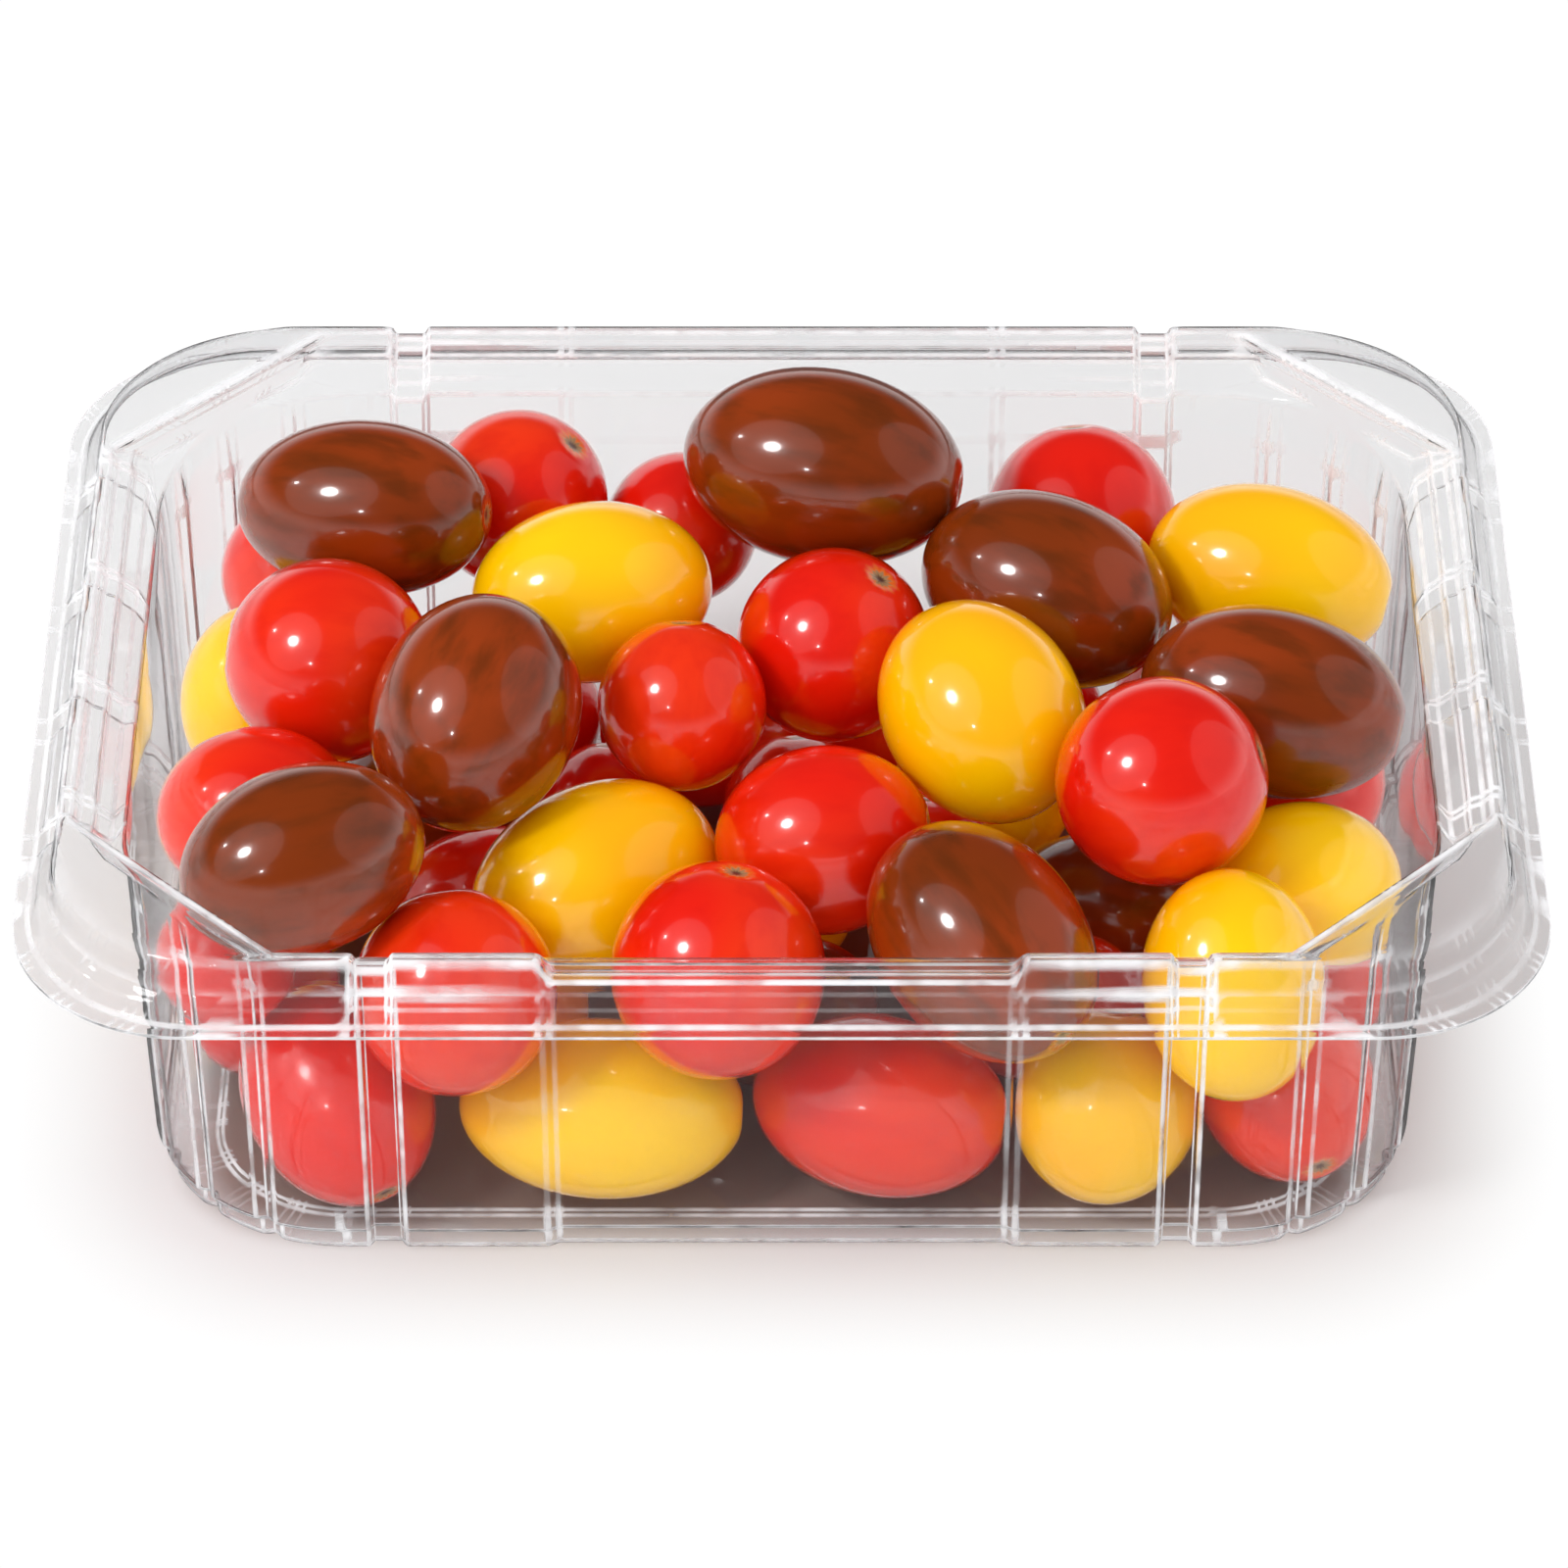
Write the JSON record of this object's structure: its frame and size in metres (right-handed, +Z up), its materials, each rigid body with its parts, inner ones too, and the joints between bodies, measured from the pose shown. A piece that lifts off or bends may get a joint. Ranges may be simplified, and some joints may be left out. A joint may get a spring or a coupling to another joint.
{
  "type": "open plastic punnet of small tomatoes",
  "caption": "Clear thermoformed plastic tray with a notched, stepped rim, ribbed walls and fluted corners, heaped with small red, yellow and brown tomatoes.",
  "frame": {"origin": "middle of the tray's standing plane, level with the foot's underside", "axes": "+X along the tray's long side, -Y towards the long side with the lowered rim, +Z up out of the tray"},
  "size_m": [0.2, 0.1534, 0.0734],
  "materials": {
    "clear_plastic": "clear, glossy thermoformed sheet",
    "red_skin": "waxy gloss of ripe tomato skin",
    "yellow_skin": "waxy gloss of ripe tomato skin",
    "brown_skin": "waxy gloss of ripe tomato skin"
  },
  "bodies": {
    "root": {"tray": "clear_plastic", "red_plum_01": "red_skin", "yellow_plum_01": "yellow_skin", "red_plum_02": "red_skin", "yellow_round_01": "yellow_skin", "red_plum_03": "red_skin", "red_round_01": "red_skin", "yellow_plum_02": "yellow_skin", "brown_plum_01": "brown_skin", "red_plum_04": "red_skin", "red_round_02": "red_skin", "yellow_plum_03": "yellow_skin", "red_plum_05": "red_skin", "yellow_plum_04": "yellow_skin", "brown_plum_02": "brown_skin", "red_round_03": "red_skin", "brown_plum_03": "brown_skin", "red_plum_06": "red_skin", "yellow_plum_05": "yellow_skin", "red_round_04": "red_skin", "red_round_05": "red_skin", "red_round_06": "red_skin", "brown_plum_04": "brown_skin", "yellow_plum_06": "yellow_skin", "red_round_07": "red_skin", "red_round_08": "red_skin", "red_round_09": "red_skin", "red_round_10": "red_skin", "yellow_round_02": "yellow_skin", "red_round_11": "red_skin", "red_round_12": "red_skin", "red_round_13": "red_skin", "red_round_14": "red_skin", "red_round_15": "red_skin", "yellow_plum_07": "yellow_skin", "brown_plum_05": "brown_skin", "red_round_16": "red_skin", "yellow_plum_08": "yellow_skin", "red_round_17": "red_skin", "red_plum_07": "red_skin", "red_round_18": "red_skin", "brown_plum_06": "brown_skin", "yellow_plum_09": "yellow_skin", "red_round_19": "red_skin", "red_round_20": "red_skin", "brown_plum_07": "brown_skin", "red_round_21": "red_skin", "yellow_plum_10": "yellow_skin", "yellow_plum_11": "yellow_skin", "brown_plum_08": "brown_skin", "red_round_22": "red_skin", "red_round_23": "red_skin", "red_round_24": "red_skin", "brown_plum_09": "brown_skin", "red_round_25": "red_skin", "brown_plum_10": "brown_skin", "yellow_plum_12": "yellow_skin"}
  },
  "joints": []
}
